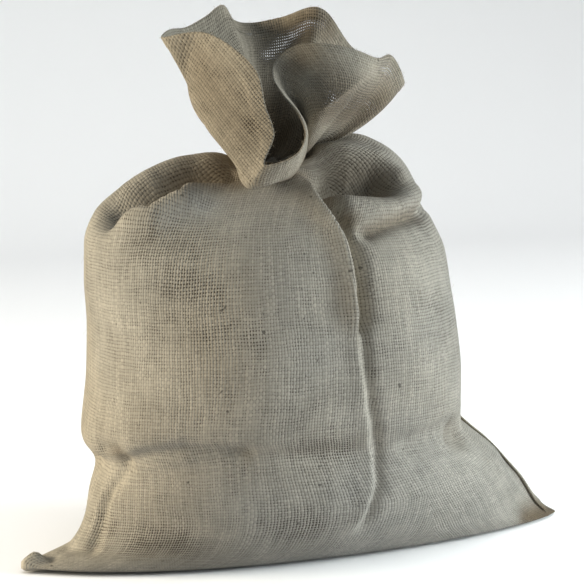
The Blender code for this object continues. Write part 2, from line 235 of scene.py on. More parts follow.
# One row for each slow or quick change of tint over the cloth: how often it comes in a metre, its
# detail, the range that is read from the noise and the range that it gives.
MOTTLING = {
    "tint":   (6.0, 2.0, 0.3, 0.7, 0.0, 1.0),
    "cloud":  (16.0, 2.0, 0.32, 0.68, 0.91, 1.06),
    "fine":   (45.0, 3.0, 0.3, 0.7, 0.93, 1.05),
    "specks": (210.0, 0.0, 0.83, 0.87, 1.0, 0.45),
}


class Stitch(Enum):
    """Ways in which the overlocking thread crosses the seam, as its slant in degrees."""

    LEANING = 28.0
    UPRIGHT = 0.0


def soft(part: Array) -> Array:
    """A part from 0 to 1 with a slow start and end."""
    return part * part * (3 - 2 * part)


def unit(vectors: Array) -> Array:
    """The same directions with a length of 1."""
    return vectors / np.maximum(np.linalg.norm(vectors, axis=-1, keepdims=True), TINY)


def chords(points: Array) -> Array:
    """The distance from each point of a closed ring to the next."""
    return np.linalg.norm(np.roll(points, -1, axis=-2) - points, axis=-1)


def normals(grid: Array) -> Array:
    """Outward unit normals of a grid of rings, closed around and open from ring to ring."""
    around = np.roll(grid, -1, axis=1) - np.roll(grid, 1, axis=1)
    return unit(np.cross(around, np.gradient(grid, axis=0)))


def curved(first: Array, last: Array, leaving: Array, reaching: Array, part: Array) -> Array:
    """Go from one row to another along a smooth curve.

    Args:
        first: The row at part 0.
        last: The row at part 1.
        leaving: The curve's slope at part 0.
        reaching: Its slope at part 1.
        part: How far along it is, from 0 to 1.

    Returns:
        The blended rows.
    """
    rise = soft(part)
    return (first * (1 - rise) + last * rise
            + leaving * part * (1 - part) ** 2 - reaching * part ** 2 * (1 - part))


def runs(points: Array, path: tuple) -> Iterator[tuple[Array, Array, Array, Array]]:
    """Read points against each straight run of a bent line.

    Args:
        points: The points, in any arrangement.
        path: The line's bends.

    Yields:
        The run's direction, and for each point its offset from the run, its distance and its place
        along the whole line.
    """
    bends = np.asarray(path, float)
    walked = 0.0
    for start, end in zip(bends[:-1], bends[1:]):
        length = np.linalg.norm(end - start)
        direction = (end - start) / max(length, TINY)
        part = np.clip((points - start) @ direction, 0, length)
        off = points - (start + part[..., None] * direction)
        yield direction, off, np.linalg.norm(off, axis=-1), walked + part
        walked += length


def path_distance(points: Array, path: tuple) -> Array:
    """The distance from each point to a bent line."""
    return np.minimum.reduce([gap for _, _, gap, _ in runs(points, path)])


@dataclass
class ClothShape:
    """The sack's outer face, worked out from the tables as points in millimetres.

    Every method that takes turn wants an array of directions in radians, counterclockwise from +X.
    A grid holds points as rings by directions by 3. Pleat rows and levels say how far the neck's
    waves reach down the body and up the mouth.
    """

    axis_x: float = -19.0
    base_turn: float = math.radians(4.6)
    base_turn_height: float = 110.0
    mouth_start: float = math.radians(143.0)
    floor_fade: float = 12.0
    lap_fade: float = 22.0
    lean_width: float = 6.0
    neck_step: float = 0.55
    pleats: int = 8
    pleat_depth: float = 1.8
    pleat_rows: float = 1.65
    pleat_levels: float = 0.33

    @staticmethod
    def between_rows(rows: Array, place: Array) -> Array:
        """Blend a table's rows with a smooth curve that does not overshoot them.

        Args:
            rows: The table, one row for each section.
            place: Where to read it, counted in rows.

        Returns:
            One blended row for each place.
        """
        step = np.diff(rows, axis=0)
        slope = np.zeros_like(rows)
        slope[0], slope[-1] = step[0], step[-1]
        steady = step[:-1] * step[1:] > 0
        both = np.where(steady, step[:-1] + step[1:], 1.0)
        slope[1:-1] = np.where(steady, 2 * step[:-1] * step[1:] / both, 0.0)
        low = np.minimum(place.astype(int), len(rows) - 2)
        return curved(rows[low], rows[low + 1], slope[low], slope[low + 1], (place - low)[:, None])

    @staticmethod
    def around_loop(points: Array, places: Array) -> Array:
        """Read a closed smooth curve through points.

        Args:
            points: One row for each point, its first three numbers being its place.
            places: Parts of the curve's length, from 0 to 1.

        Returns:
            One row for each place, with all of the points' numbers blended.
        """
        count, chord = len(points), chords(points[:, :3])
        start = np.concatenate([[0], np.cumsum(chord)])
        wanted = np.mod(places, 1.0) * start[-1]
        low = np.clip(np.searchsorted(start, wanted, side="right") - 1, 0, count - 1)
        part = ((wanted - start[low]) / chord[low])[:, None]
        before, here, after = (chord[(low + k) % count][:, None] for k in (-1, 0, 1))
        p0, p1, p2, p3 = (points[(low + k) % count] for k in (-1, 0, 1, 2))
        rise0, rise1, rise2 = (p1 - p0) / before, (p2 - p1) / here, (p3 - p2) / after
        leaving = (rise0 * here + rise1 * before) / (before + here) * here
        reaching = (rise1 * after + rise2 * here) / (here + after) * here
        return curved(p1, p2, leaving, reaching, part)

    def plain_body(self, turn: Array, place: Array) -> Array:
        """Rings of the filled body without its folds.

        Args:
            turn: Directions around the axis.
            place: Levels, counted in rows of SECTIONS.

        Returns:
            The grid of points.
        """
        cos, sin = np.cos(turn), np.sin(turn)
        rings = []
        for row in self.between_rows(np.array(list(SECTIONS.values()), float), place):
            size = dict(zip(SECTION_COLUMNS, row))
            reach_x = np.where(cos > 0, size["right"], size["left"])
            reach_y = np.where(sin > 0, size["back"], size["front"])
            x = self.axis_x + reach_x * np.sign(cos) * np.abs(cos) ** size["square"]
            y = reach_y * np.sign(sin) * np.abs(sin) ** size["pinch"]
            side = np.where(cos > 0, size["z_right"], size["z_left"])
            face = np.where(sin > 0, size["z_back"], size["z_front"])
            rings.append(np.stack([x, y, side * cos ** 2 + face * sin ** 2], axis=1))
        return self.turned(np.array(rings))

    def turned(self, rings: Array) -> Array:
        """Turn the base against the body, fading out over its lower half."""
        angle = self.base_turn * soft(np.clip(1 - rings[..., 2] / self.base_turn_height, 0, 1))
        x, y = rings[..., 0] - self.axis_x, rings[..., 1]
        moved = rings.copy()
        moved[..., 0] = self.axis_x + x * np.cos(angle) - y * np.sin(angle)
        moved[..., 1] = x * np.sin(angle) + y * np.cos(angle)
        return moved

    def folded(self, rings: Array) -> Array:
        """Press the folds and hollows of the table into the plain body."""
        shift = np.zeros(rings.shape[:2])
        for height, width, path in FOLDS.values():
            shift += height * np.exp(-(path_distance(rings, path) / width) ** 2)
        shift *= np.clip(rings[..., 2] / self.floor_fade, 0, 1)
        shift[0] = 0
        return rings + normals(rings) * shift[..., None]

    def lapped(self, rings: Array) -> Array:
        """Step the cloth along each lapping fold, so that one side leans over the other."""
        normal = normals(rings)
        moved = rings.copy()
        for swell, swell_width, sink, sink_width, lean, wide, path in LAPS.values():
            best = np.full(rings.shape[:2], np.inf)
            side, walked, across = np.zeros_like(best), np.zeros_like(best), np.zeros_like(rings)
            for direction, off, gap, along in runs(rings, path):
                left = unit(np.cross(normal, direction))
                nearer = gap < best
                best = np.where(nearer, gap, best)
                side = np.where(nearer, np.sum(left * off, axis=-1), side)
                walked = np.where(nearer, along, walked)
                across = np.where(nearer[..., None], left, across)
            length = np.linalg.norm(np.diff(np.asarray(path, float), axis=0), axis=1).sum()
            fade = soft(np.clip(np.minimum(walked, length - walked) / self.lap_fade, 0, 1))
            step = soft(np.clip(side / wide + 0.5, 0, 1))
            rise = (swell * np.exp(-(best / swell_width) ** 2) * step
                    - sink * np.exp(-(best / sink_width) ** 2) * (1 - step))
            hang = lean * np.exp(-(best / self.lean_width) ** 2) * step
            moved += normal * (rise * fade)[..., None] - across * (hang * fade)[..., None]
        return moved

    def gathered(self, rings: Array, turn: Array, strength: Array) -> Array:
        """Wave the rings nearest to the neck in and out, as the drawn-in cloth does.

        Args:
            rings: The grid of points.
            turn: The rings' directions.
            strength: How much of the wave each ring takes, from 0 to 1.

        Returns:
            The waved grid.
        """
        wave = self.pleat_depth * np.cos(self.pleats * turn)
        return rings + normals(rings) * (wave * strength[:, None])[..., None]

    def body(self, turn: Array, place: Array) -> Array:
        """The folded body's rings at the given directions and levels."""
        rings = self.lapped(self.folded(self.plain_body(turn, place)))
        above = (place - len(SECTIONS) + 1) / self.pleat_rows
        return self.gathered(rings, turn, np.exp(-above ** 2))

    def bend_turn(self, name: str) -> float:
        """The direction in which the hem passes one of its named bends."""
        chord = chords(np.array([hem for hem, _, _ in HEM_BENDS.values()], float))
        before = chord[:list(HEM_BENDS).index(name)].sum()
        return self.mouth_start + FULL_TURN * before / chord.sum()

    def mouth(self, turn: Array, level: Array) -> Array:
        """Rings of the mouth's cloth.

        Args:
            turn: Directions around the neck.
            level: Heights from 0 at the neck to 1 at the hem.

        Returns:
            The grid of points.
        """
        top = len(SECTIONS) - 1
        neck = self.folded(self.plain_body(turn, np.array([0.0, top - self.neck_step, top])))[-1]
        bends = np.array([hem + half + (crease,) for hem, half, crease in HEM_BENDS.values()],
                         float)
        loop = self.around_loop(bends, (turn - self.mouth_start) / FULL_TURN)
        hem, half, crease = loop[:, :3], loop[:, 3:6], np.clip(loop[:, 6:], 0, 1)
        lower = np.linalg.norm(half - neck, axis=1)
        middle = (lower / (lower + np.linalg.norm(hem - half, axis=1)))[:, None]
        rings = []
        for part in level:
            at_neck = (part - middle) * (part - 1) / middle
            at_half = part * (part - 1) / (middle * (middle - 1))
            at_hem = part * (part - middle) / (1 - middle)
            bowed = neck * at_neck + half * at_half + hem * at_hem
            below = neck + (half - neck) * part / middle
            above = half + (hem - half) * (part - middle) / (1 - middle)
            rings.append(bowed * (1 - crease) + np.where(part < middle, below, above) * crease)
        return self.gathered(np.array(rings), turn, np.exp(-(level / self.pleat_levels) ** 2))


@dataclass(frozen=True)
class WeaveLayout:
    """Lays the cloth's own coordinates over a grid, so that yarns keep their spacing.

    Between two anchors the yarns spread or close up with the cloth, but never closer than packed
    allows: past that the spare yarns are folded away where the two anchors' cloth meets. Anchors
    and meets are in degrees.
    """

    anchors: tuple[float, ...]
    meets: tuple[float, ...]
    packed: float = 1.2
    spread: float = 0.85
    least_run: float = 1e-6

    def lay(self, grid: Array, turn: Array, level: int) -> Array:
        """Work out the weave's coordinates at the two sides of each column of faces.

        Args:
            grid: Points as rings by columns by 3, in millimetres.
            turn: The columns' directions, rising.
            level: The ring on which the anchors' own spacing is read.

        Returns:
            Two sides by rings by columns by 2: the place along the weft, then along the warp.
        """
        count = len(turn)
        walked = np.cumsum(np.tile(chords(grid), (1, 2)), axis=1)
        reach = np.concatenate([np.zeros((len(grid), 1)), walked], axis=1)
        wide = np.concatenate([turn, turn + FULL_TURN, [turn[0] + 2 * FULL_TURN]])
        column, meet = ([int(np.argmin(np.abs(wide - math.radians(angle)))) for angle in angles]
                        for angles in (self.anchors, self.meets))
        column.append(column[0] + count)
        laid = np.zeros((2, len(grid), count, 2))
        for first, cut, last in zip(column[:-1], meet, column[1:]):
            run = np.maximum(reach[:, [last]] - reach[:, [first]], self.least_run)
            scale = np.clip((reach[level, last] - reach[level, first]) / run,
                            self.spread, self.packed)
            columns = np.arange(first, last)
            for side in (0, 1):
                here = reach[:, columns + side]
                from_first = reach[level, first] + (here - reach[:, [first]]) * scale
                from_last = reach[level, last] - (reach[:, [last]] - here) * scale
                laid[side, ..., 0][:, columns % count] = np.where(columns < cut,
                                                                  from_first, from_last)
        rise = np.linalg.norm(np.diff(grid, axis=0), axis=2)
        warp = np.concatenate([np.zeros((1, count)), np.cumsum(rise, axis=0)])
        laid[0, :, :, 1] = warp - warp[level]
        laid[1, :, :, 1] = np.roll(warp - warp[level], -1, axis=1)
        return laid


STRIP_WEAVE = WeaveLayout(anchors=(0, 180), meets=(90, 270))


@dataclass
class FlatPatch:
    """A range of columns whose cloth lies flat, so that its yarns run straight across the rings."""

    first: int
    last: int
    along: Array
    across: Array

    def lay(self, grid: Array, laid: Array) -> None:
        """Put the straight coordinates in place of the range's own."""
        for side in (0, 1):
            points = np.roll(grid, -side, axis=1)[:, self.first:self.last]
            laid[side, :, self.first:self.last] = np.stack(
                [points @ self.across, points @ self.along], axis=-1)


def linked(name: str, data: bpy.types.ID) -> Piece:
    """A new object of the scene that holds the data."""
    holder = bpy.data.objects.new(name, data)
    bpy.context.scene.collection.objects.link(holder)
    return holder


@dataclass
class ClothMesh:
    """A grid of cloth points, in millimetres before centring, that becomes a mesh.

    The caps' middle points close it below and above. Smooth is a grid that the weave is laid on in
    place of its own.
    """

    name: str
    grid: Array
    low_cap: Array | None = None
    high_cap: Array | None = None
    smooth: Array | None = None
    flat_patch: FlatPatch | None = None

    def build(self, layout: WeaveLayout, turn: Array, level: int) -> Piece:
        """Make the mesh object.

        Args:
            layout: How the weave lies on the grid.
            turn: The grid columns' directions.
            level: The ring that the weave is measured from.

        Returns:
            The new object, smooth shaded, with a UV map named weave in metres.
        """
        rings, count = self.grid.shape[:2]
        laid = layout.lay(self.grid if self.smooth is None else self.smooth, turn, level)
        if self.flat_patch:
            self.flat_patch.lay(self.grid, laid)
        points = [*self.grid.reshape(-1, 3)]
        faces: list[tuple[int, ...]] = []
        places: list[tuple[float, float]] = []
        for i in range(rings - 1):
            for j in range(count):
                here, after = i * count + j, i * count + (j + 1) % count
                faces.append((here, after, after + count, here + count))
                places += [laid[0, i, j], laid[1, i, j], laid[1, i + 1, j], laid[0, i + 1, j]]
        for cap, ring, order in ((self.low_cap, 0, -1), (self.high_cap, rings - 1, 1)):
            if cap is None:
                continue
            for j in range(count):
                after = (j + 1) % count
                corners = (ring * count + j, ring * count + after, len(points))
                flat = [(p[0] - cap[0], p[1] - cap[1])
                        for p in (self.grid[ring, j], self.grid[ring, after], cap)]
                faces.append(corners[::order])
                places += flat[::order]
            points.append(cap)
        mesh = bpy.data.meshes.new(self.name)
        mesh.from_pydata(((np.array(points) - CENTRE) * MM).tolist(), [], faces)
        uv = mesh.uv_layers.new(name="weave")
        uv.data.foreach_set("uv", (np.array(places) * MM).ravel())
        mesh.shade_smooth()
        return linked(self.name, mesh)


def dress(piece: Piece, finish: Material, painted: dict[str, Patches]) -> Piece:
    """Give a piece its finish and the amounts that the finish reads at each point.

    Args:
        piece: The piece.
        finish: Its material.
        painted: A table of soft patches by attribute name.

    Returns:
        The same piece.
    """
    flat = np.zeros(len(piece.data.vertices) * 3)
    piece.data.vertices.foreach_get("co", flat)
    points = flat.reshape(-1, 3) / MM + CENTRE
    for name, table in painted.items():
        amount = np.zeros(len(points))
        for strength, radius, *line in table.values():
            gap = path_distance(points, (line[0], *line))
            amount = np.maximum(amount, strength * np.exp(-(gap / radius) ** 2))
        layer = piece.data.attributes.new(name, "FLOAT", "POINT")
        layer.data.foreach_set("value", amount.astype(np.float32))
    piece.data.materials.append(finish)
    return piece


class Wiring:
    """Short ways to add nodes to one tree and join them."""

    def __init__(self, tree: bpy.types.NodeTree) -> None:
        """Keep the tree."""
        self.tree = tree

    def add(self, kind: str, inputs: dict[str | int, object] | None = None,
            **settings: object) -> bpy.types.Node:
        """Add a node, set its properties and feed its inputs.

        Args:
            kind: The node's type.
            inputs: A socket to link or a plain value, by the input's name or number.
            **settings: The node's properties.

        Returns:
            The new node.
        """
        node = self.tree.nodes.new(kind)
        for name, value in settings.items():
            setattr(node, name, value)
        for name, value in (inputs or {}).items():
            self.feed(node.inputs[name], value)
        return node

    def feed(self, socket: Socket, value: object) -> None:
        """Link another node's output to a socket, or set the socket to a plain value."""
        if isinstance(value, Socket):
            self.tree.links.new(value, socket)
        else:
            socket.default_value = value

    def math(self, operation: str, *values: object, clamp: bool = False) -> Socket:
        """A math node on up to three values."""
        return self.add("ShaderNodeMath", dict(enumerate(values)), operation=operation,
                        use_clamp=clamp).outputs[0]

    def times(self, first: object, second: object) -> Socket:
        """One value times another."""
        return self.math("MULTIPLY", first, second)

    def plus(self, first: object, second: object) -> Socket:
        """One value plus another."""
        return self.math("ADD", first, second)

    def minus(self, first: object, second: object) -> Socket:
        """One value less another."""
        return self.math("SUBTRACT", first, second)

    def vector(self, *values: object) -> Socket:
        """Up to three numbers joined into a vector."""
        return self.add("ShaderNodeCombineXYZ", dict(enumerate(values))).outputs[0]

    def noise(self, place: object, scale: float, detail: float = 2.0) -> Socket:
        """Smooth noise from 0 to 1 at a place."""
        return self.add("ShaderNodeTexNoise",
                        {"Vector": place, "Scale": scale, "Detail": detail}).outputs[0]

    def remap(self, value: object, *ranges: float) -> Socket:
        """A value moved smoothly from one range to another, or to 0 and 1."""
        numbers = (value, *ranges) if len(ranges) == 4 else (value, *ranges, 0.0, 1.0)
        return self.add("ShaderNodeMapRange", dict(enumerate(numbers)),
                        interpolation_type="SMOOTHSTEP").outputs[0]

    def blend(self, factor: object, first: object, second: object, kind: str = "MIX") -> Socket:
        """Two colours mixed."""
        return self.add("ShaderNodeMix", {0: factor, 6: first, 7: second}, data_type="RGBA",
                        blend_type=kind).outputs[2]


class NodeGroup:
    """A node tree with named sockets."""

    def __init__(self, name: str, kind: str, inputs: dict[str, tuple[str, object]],
                 outputs: dict[str, str]) -> None:
        """Start the tree.

        Args:
            name: The tree's name.
            kind: The tree's type.
            inputs: Socket kind and default value, or None, by socket name.
            outputs: Socket kind by socket name.
        """
        self.tree = bpy.data.node_groups.new(name, kind)
        for label, (socket_kind, value) in inputs.items():
            socket = self.tree.interface.new_socket(label, in_out="INPUT",
                                                    socket_type=socket_kind)
            if value is not None:
                socket.default_value = value
        for label, socket_kind in outputs.items():
            self.tree.interface.new_socket(label, in_out="OUTPUT", socket_type=socket_kind)
        self.w = Wiring(self.tree)
        self.given = self.w.add("NodeGroupInput").outputs
        self.result = self.w.add("NodeGroupOutput").inputs


class WeaveGroup(NodeGroup):
    """A plain weave of uneven yarns, as its height, the gaps between yarns and the yarns' tone."""

    DRIFT_SCALE, SWAY_SCALE, RIPPLE_SCALE = 22.0, 26.0, 130.0
    SWAY_PLACE = 0.31                       # a slice of the noise that the drift doesn't read
    DRIFT_WEIGHT = 5.0                      # how much more the slow drift moves a yarn than ripples
    WARP_SEED, WEFT_SEED, TONE_SEED = 13.7, 29.3, 4.0
    SLUB_LENGTH, TONE_LENGTH = 0.16, 0.07   # the less, the more slowly a yarn changes along itself
    SLUB_RANGE = (0.28, 0.72, 0.72, 1.32)
    TONE_RANGE = (0.25, 0.75)
    WEFT_TONE = (0.0, 1.0, 0.3, 0.65)
    THINNED = 0.5                           # how much slimmer a yarn is where the weave is opened
    WARP_LIFT = 0.08
    EDGE = (1.12, 0.86)                     # where a yarn ends and where it is whole
    ROUND_HEIGHT, CROSSING_HEIGHT, BASE_HEIGHT = 0.5, 0.32, 0.4

    def __init__(self) -> None:
        """Build the group."""
        super().__init__(
            "plain weave", "ShaderNodeTree",
            {"Place": ("NodeSocketVector", None), "Warp pitch": (NUMBER, 0.00205),
             "Weft pitch": (NUMBER, 0.0023), "Yarn width": (NUMBER, 0.74),
             "Wander": (NUMBER, 0.35), "Opened": (NUMBER, 0.0)},
            {"Height": NUMBER, "Gap": NUMBER, "Tone": NUMBER})
        w, given = self.w, self.given
        split = w.add("ShaderNodeSeparateXYZ", {0: given["Place"]}).outputs
        warp, weft = split[0], split[1]
        drift = w.minus(w.noise(given["Place"], self.DRIFT_SCALE, 1.0), 0.5)
        sway = w.minus(w.noise(w.vector(weft, warp, self.SWAY_PLACE), self.SWAY_SCALE, 1.0), 0.5)
        ripple = w.minus(w.noise(given["Place"], self.RIPPLE_SCALE, 1.0), 0.5)
        u, v = (w.plus(w.math("DIVIDE", along, given[pitch]),
                       w.times(w.plus(w.times(slow, self.DRIFT_WEIGHT), ripple), given["Wander"]))
                for along, pitch, slow in ((warp, "Warp pitch", drift), (weft, "Weft pitch", sway)))
        iu, iv = w.math("FLOOR", u), w.math("FLOOR", v)
        width = w.times(given["Yarn width"], w.minus(1.0, w.times(given["Opened"], self.THINNED)))
        high_u, in_u, tone_u = self.yarns(u, iu, v, 0.0, width, self.WARP_SEED)
        high_v, in_v, tone_v = self.yarns(v, iv, u, 1.0, width, self.WEFT_SEED)
        high_u = w.plus(high_u, self.WARP_LIFT)
        on_top = w.math("GREATER_THAN", high_u, high_v)
        w.feed(self.result["Height"], w.math("MAXIMUM", high_u, high_v))
        w.feed(self.result["Gap"], w.minus(1.0, w.math("MAXIMUM", in_u, in_v)))
        w.feed(self.result["Tone"], w.plus(
            w.times(tone_u, on_top),
            w.times(w.remap(tone_v, *self.WEFT_TONE), w.minus(1.0, on_top))))

    def yarns(self, cells: Socket, index: Socket, along: Socket, phase: float, width: Socket,
              seed: float) -> tuple[Socket, Socket, Socket]:
        """One of the two sets of yarns, each with its own slubs and tone.

        Args:
            cells: The place across the yarns, one yarn to a cell.
            index: The yarn's number.
            along: The place along the yarn, in crossings.
            phase: The crossing at which the first yarn passes over.
            width: The yarns' width as a part of a cell.
            seed: A number that keeps warp and weft apart.

        Returns:
            The yarn's height, how far inside it a place is, and its tone from 0 to 1.
        """
        w = self.w
        own = w.times(index, seed)
        slub = w.noise(w.vector(own, w.times(along, self.SLUB_LENGTH), seed), 1.0, 2.0)
        tone = w.noise(w.vector(own, w.times(along, self.TONE_LENGTH), seed + self.TONE_SEED),
                       1.0, 2.0)
        thick = w.times(width, w.remap(slub, *self.SLUB_RANGE))
        off = w.math("ABSOLUTE", w.minus(w.math("FRACT", cells), 0.5))
        part = w.math("DIVIDE", off, w.times(thick, 0.5))
        rounded = w.math("SQRT", w.math("SUBTRACT", 1.0, w.times(part, part), clamp=True))
        inside = w.remap(part, *self.EDGE)
        over = w.math("SINE", w.times(w.plus(w.plus(along, index), phase), math.pi))
        top = w.plus(w.times(rounded, self.ROUND_HEIGHT), w.times(over, self.CROSSING_HEIGHT))
        height = w.times(w.plus(top, self.BASE_HEIGHT), inside)
        return height, inside, w.remap(tone, *self.TONE_RANGE)


class MottleGroup(NodeGroup):
    """Slow changes of tint over the cloth: yellowed, greyed and rubbed places and dark specks, and
    the painted shade that darkens hollows and creases towards brown.
    """

    def __init__(self) -> None:
        """Build the group."""
        colour = "NodeSocketColor"
        super().__init__(
            "mottled jute", "ShaderNodeTree",
            {"Place": ("NodeSocketVector", None), "Painted shade": (NUMBER, 0.0),
             "Warm": (colour, (0.45, 0.41, 0.33, 1.0)), "Grey": (colour, (0.4, 0.39, 0.34, 1.0)),
             "Shade brown": (colour, (0.36, 0.27, 0.17, 1.0))},
            {"Colour": colour})
        w, given = self.w, self.given
        layer = {name: w.remap(w.noise(given["Place"], scale, detail), *ranges)
                 for name, (scale, detail, *ranges) in MOTTLING.items()}
        tint = w.blend(layer["tint"], given["Warm"], given["Grey"])
        level = w.times(w.times(layer["fine"], layer["specks"]), layer["cloud"])
        # Painted shade: the cloth is darkened towards the brown tint in hollows, creases and
        # undersides.
        shade_tint = w.blend(given["Painted shade"], (1.0, 1.0, 1.0, 1.0), given["Shade brown"])
        w.feed(self.result["Colour"],
               w.blend(1.0, w.blend(1.0, tint, level, "MULTIPLY"), shade_tint, "MULTIPLY"))


def new_material(name: str, values: dict[str, float]) -> tuple[Material, Wiring, bpy.types.Node]:
    """Start a material.

    Args:
        name: Its name.
        values: Plain values of its shader, by socket name.

    Returns:
        The material, its wiring and its shader.
    """
    material = bpy.data.materials.new(name)
    material.use_nodes = True
    shader = material.node_tree.nodes["Principled BSDF"]
    for label, value in values.items():
        shader.inputs[label].default_value = value
    return material, Wiring(material.node_tree), shader


@dataclass(frozen=True)
class JuteFinish:
    """Unbleached jute cloth."""

    name: str
    warm: Colour = (0.455, 0.415, 0.345, 1.0)
    grey: Colour = (0.425, 0.405, 0.36, 1.0)
    # The brown tint that painted shade darkens the cloth towards.
    shade_brown: Colour = (0.36, 0.27, 0.17, 1.0)
    gap: Colour = (0.06, 0.042, 0.024, 1.0)
    warp_pitch: float = 0.00205
    weft_pitch: float = 0.0023
    yarn_width: float = 0.9
    wander: float = 0.38
    relief: float = 0.0009
    relief_strength: float = 0.8
    yarn_tones: tuple[float, ...] = (0.0, 1.0, 0.84, 1.14)
    # Painted shade and highlight of the yarns' relief: darker where they lie low, lighter on top.
    relief_shade_tones: tuple[float, ...] = (0.4, 1.15, 0.5, 1.17)
    roughness: float = 0.95
    specular: float = 0.15
    sheen: float = 0.12
    sheen_roughness: float = 0.5
    sheer: bool = False

    def make(self, weave: WeaveGroup, mottle: MottleGroup) -> Material:
        """Build the material.

        Args:
            weave: The weave's node group.
            mottle: The mottling's node group.

        Returns:
            The new material.
        """
        material, w, shader = new_material(self.name, {
            "Roughness": self.roughness, "Specular IOR Level": self.specular,
            "Sheen Weight": self.sheen, "Sheen Roughness": self.sheen_roughness})
        # The painted shade amount, read below, darkens hollows and creases towards the brown tint.
        opened, painted_shade, thin = (
            w.add("ShaderNodeAttribute", attribute_name=name).outputs["Fac"] if used else None
            for name, used in (("opened", True), ("painted_shade", True), ("sheer", self.sheer)))
        cells = w.add("ShaderNodeGroup", node_tree=weave.tree, inputs={
            "Place": w.add("ShaderNodeUVMap", uv_map="weave").outputs[0], "Opened": opened,
            "Warp pitch": self.warp_pitch, "Weft pitch": self.weft_pitch,
            "Yarn width": self.yarn_width, "Wander": self.wander}).outputs
        tint = w.add("ShaderNodeGroup", node_tree=mottle.tree, inputs={
            "Place": w.add("ShaderNodeTexCoord").outputs["Object"], "Painted shade": painted_shade,
            "Warm": self.warm, "Grey": self.grey, "Shade brown": self.shade_brown}).outputs
        lit = w.remap(cells["Tone"], *self.yarn_tones)
        # Painted shade and highlight: the colour darkens where the yarns lie low and lightens on
        # their crowns.
        relief_shade = w.remap(cells["Height"], *self.relief_shade_tones)
        shaded = w.blend(1.0, tint["Colour"], w.times(lit, relief_shade), "MULTIPLY")
        w.feed(shader.inputs["Base Color"], w.blend(cells["Gap"], shaded, self.gap))
        bump = w.add("ShaderNodeBump", {"Strength": self.relief_strength,
                                        "Distance": self.relief, "Height": cells["Height"]})
        w.feed(shader.inputs["Normal"], bump.outputs[0])
        if self.sheer:
            hole = w.times(cells["Gap"], thin)
            w.feed(shader.inputs["Alpha"], w.math("SUBTRACT", 1.0, hole, clamp=True))
        return material


@dataclass(frozen=True)
class ThreadFinish:
    """A spun thread or a single fibre of pale jute."""

    name: str
    colour: Colour = (0.52, 0.45, 0.34, 1.0)
    ply: float = 1400.0
    tones: tuple[float, ...] = (0.3, 0.7, 0.7, 1.15)
    roughness: float = 0.85
    specular: float = 0.2

    def make(self) -> Material:
        """Build the material."""
        material, w, shader = new_material(self.name, {
            "Roughness": self.roughness, "Specular IOR Level": self.specular})
        place = w.add("ShaderNodeTexCoord").outputs["Object"]
        level = w.remap(w.noise(place, self.ply), *self.tones)
        w.feed(shader.inputs["Base Color"], w.blend(1.0, self.colour, level, "MULTIPLY"))
        return material


class NodePart(NodeGroup):
    """A Geometry Nodes tree that grows one kind of small part on a base object."""

    def __init__(self, name: str, sizes: dict[str, str]) -> None:
        """Start the tree.

        Args:
            name: The tree's name.
            sizes: Socket kind by socket name, for its sizes.
        """
        geometry = "NodeSocketGeometry"
        super().__init__(name, "GeometryNodeTree",
                         {"Geometry": (geometry, None),
                          **{label: (kind, None) for label, kind in sizes.items()},
                          "Finish": ("NodeSocketMaterial", None)}, {"Geometry": geometry})

    def tube(self, line: Socket, radius: Socket, sides: int) -> Socket:
        """A round thread along a curve, closed at its ends."""
        ring = self.w.add("GeometryNodeCurvePrimitiveCircle",
                          {"Resolution": sides, "Radius": radius})
        return self.w.add("GeometryNodeCurveToMesh",
                          {"Curve": line, "Profile Curve": ring.outputs[0],
                           "Fill Caps": True}).outputs[0]

    def close(self, placed: Socket) -> None:
        """Realize the placed parts, give them their finish and end the tree."""
        whole = self.w.add("GeometryNodeRealizeInstances", {0: placed}).outputs[0]
        dressed = self.w.add("GeometryNodeSetMaterial",
                             {"Geometry": whole, "Material": self.given["Finish"]})
        self.w.feed(self.result["Geometry"], dressed.outputs[0])

    def grow(self, name: str, base: Piece, keep_base: bool, values: dict[str, object]) -> Piece:
        """Run the tree on a base object and keep the result as a plain mesh.

        Args:
            name: The new piece's name.
            base: The object that the parts grow on.
            keep_base: Whether the base object stays in the scene.
            values: The tree's inputs, by socket name.

        Returns:
            The new piece.
        """
        modifier = base.modifiers.new(name, "NODES")
        modifier.node_group = self.tree
        for item in self.tree.interface.items_tree:
            if item.in_out == "INPUT" and item.name in values:
                modifier[item.identifier] = values[item.name]
        bpy.context.view_layer.update()
        ready = base.evaluated_get(bpy.context.evaluated_depsgraph_get())
        mesh = bpy.data.meshes.new_from_object(ready)
        mesh.name = name
        mesh.shade_smooth()
        base.modifiers.remove(modifier)
        if not keep_base:
            bpy.data.objects.remove(base)
        return linked(name, mesh)


